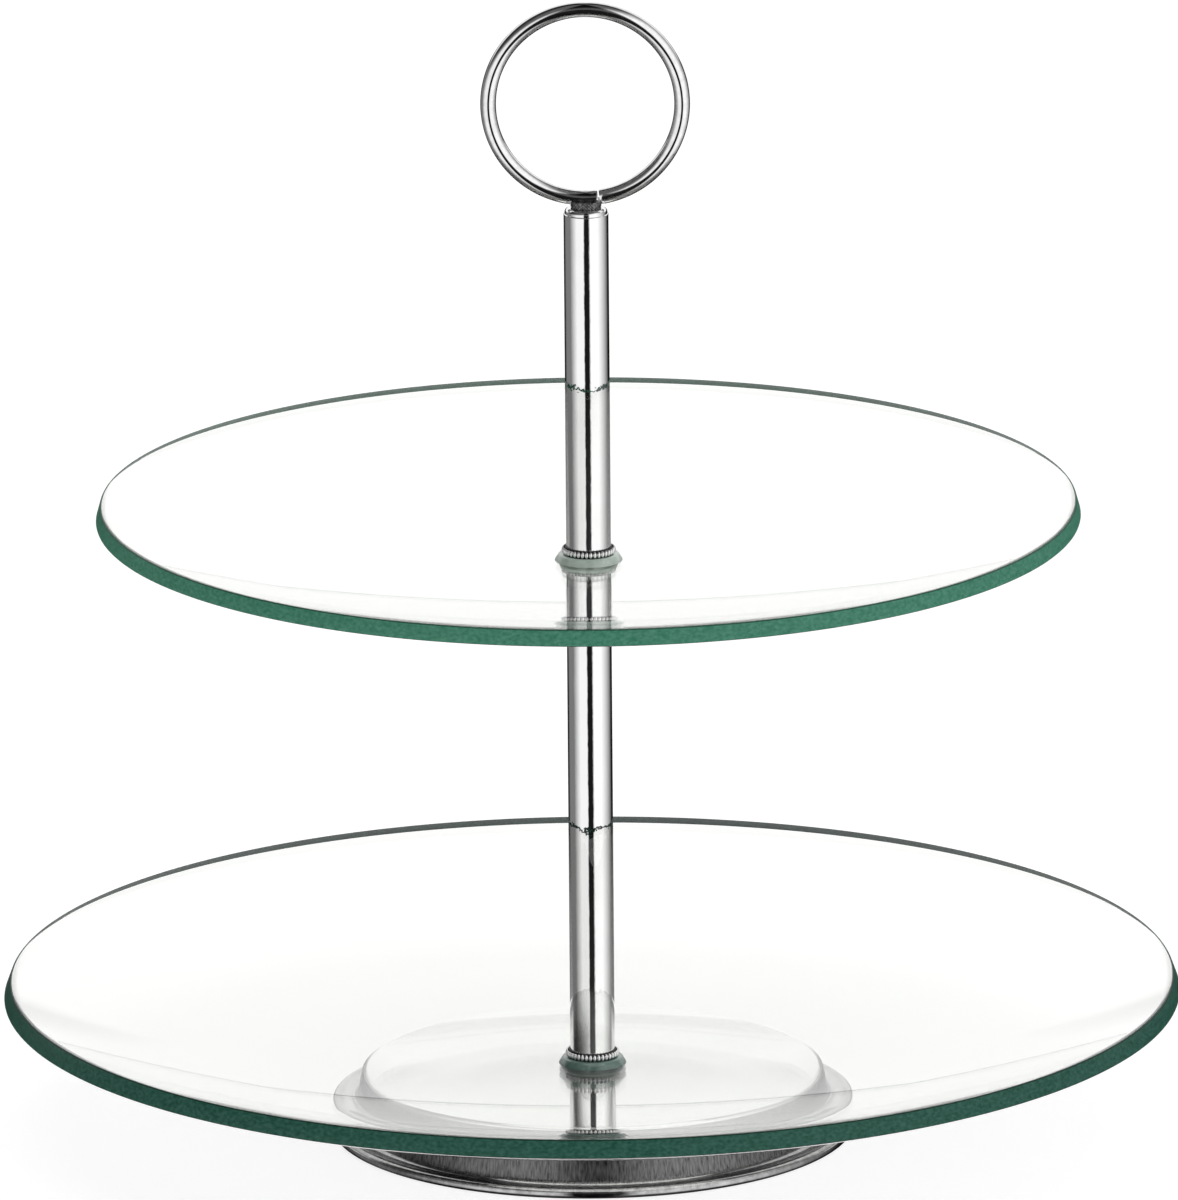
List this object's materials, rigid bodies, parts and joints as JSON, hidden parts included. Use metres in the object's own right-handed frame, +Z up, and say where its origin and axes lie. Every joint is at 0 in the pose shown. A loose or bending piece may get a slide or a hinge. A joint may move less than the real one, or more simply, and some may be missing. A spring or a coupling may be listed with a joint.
{
  "type": "tiered cake stand",
  "caption": "Tiered cake stand: round dished glass plates on a screwed polished steel column, with bead-edged trim, a pressed steel foot and a ring handle.",
  "frame": {"origin": "on the table, on the axis of the column, at the centre of the foot's underside", "axes": "+Z up the column; +X to the right with the ring handle standing in the XZ plane; +Y away from the front"},
  "size_m": [0.2998, 0.2998, 0.2952],
  "materials": {
    "glass": "clear float glass with ground green edges",
    "bright_steel": "mirror polished stainless steel",
    "foot_steel": "pressed stainless steel, bright rim, fine upright draw marks on the wall",
    "dark_steel": "knurled, oxidised by brazing",
    "hidden_steel": "zinc plated",
    "gasket": "translucent grey-green soft plastic",
    "pad": "clear silicone",
    "sleeve": "natural nylon"
  },
  "bodies": {
    "stand": {"foot": "foot_steel", "foot_pad": "pad", "foot_washer": "hidden_steel", "foot_screw": "hidden_steel", "lower_bead_ring": "bright_steel", "lower_tube": "bright_steel", "lower_tube_bottom_insert": "hidden_steel", "lower_tube_top_insert": "hidden_steel", "support_washer": "bright_steel", "joining_stud": "hidden_steel"},
    "lower_tier": {"lower_plate": "glass", "lower_plate_sleeve": "sleeve", "lower_gasket": "gasket"},
    "upper_tier": {"upper_plate": "glass", "upper_plate_sleeve": "sleeve", "upper_gasket": "gasket", "upper_under_gasket": "gasket"},
    "upper_trim": {"upper_bead_ring": "bright_steel"},
    "upper_column": {"upper_tube": "bright_steel", "upper_tube_bottom_insert": "hidden_steel", "upper_tube_top_insert": "hidden_steel"},
    "cap": {"tube_cap": "bright_steel"},
    "handle": {"handle_stud": "hidden_steel", "handle_neck": "dark_steel", "handle_ring": "bright_steel"}
  },
  "joints": [
    {"name": "lower_plate_turn", "type": "hinge", "parent": "stand", "child": "lower_tier", "pos_m": [0, 0, 0.0166], "axis": [0, 0, 1], "continuous": true},
    {"name": "upper_plate_turn", "type": "hinge", "parent": "stand", "child": "upper_tier", "pos_m": [0, 0, 0.1494], "axis": [0, 0, 1], "continuous": true},
    {"name": "column_rise", "type": "slide", "parent": "stand", "child": "upper_trim", "axis": [0, 0, 1], "range_m": [0, 0.00905]},
    {"name": "column_unscrew", "type": "hinge", "parent": "upper_trim", "child": "upper_column", "pos_m": [0, 0, 0.16], "axis": [0, 0, 1], "range_deg": [0, 3240]},
    {"name": "handle_rise", "type": "slide", "parent": "upper_column", "child": "cap", "axis": [0, 0, 1], "range_m": [0, 0.00905]},
    {"name": "handle_unscrew", "type": "hinge", "parent": "cap", "child": "handle", "pos_m": [0, 0, 0.2405], "axis": [0, 0, 1], "range_deg": [0, 3240]}
  ],
  "couplings": [
    {"joint": "column_rise", "follows": "column_unscrew", "m_per_rad": 0.00015915},
    {"joint": "handle_rise", "follows": "handle_unscrew", "m_per_rad": 0.00015915}
  ]
}
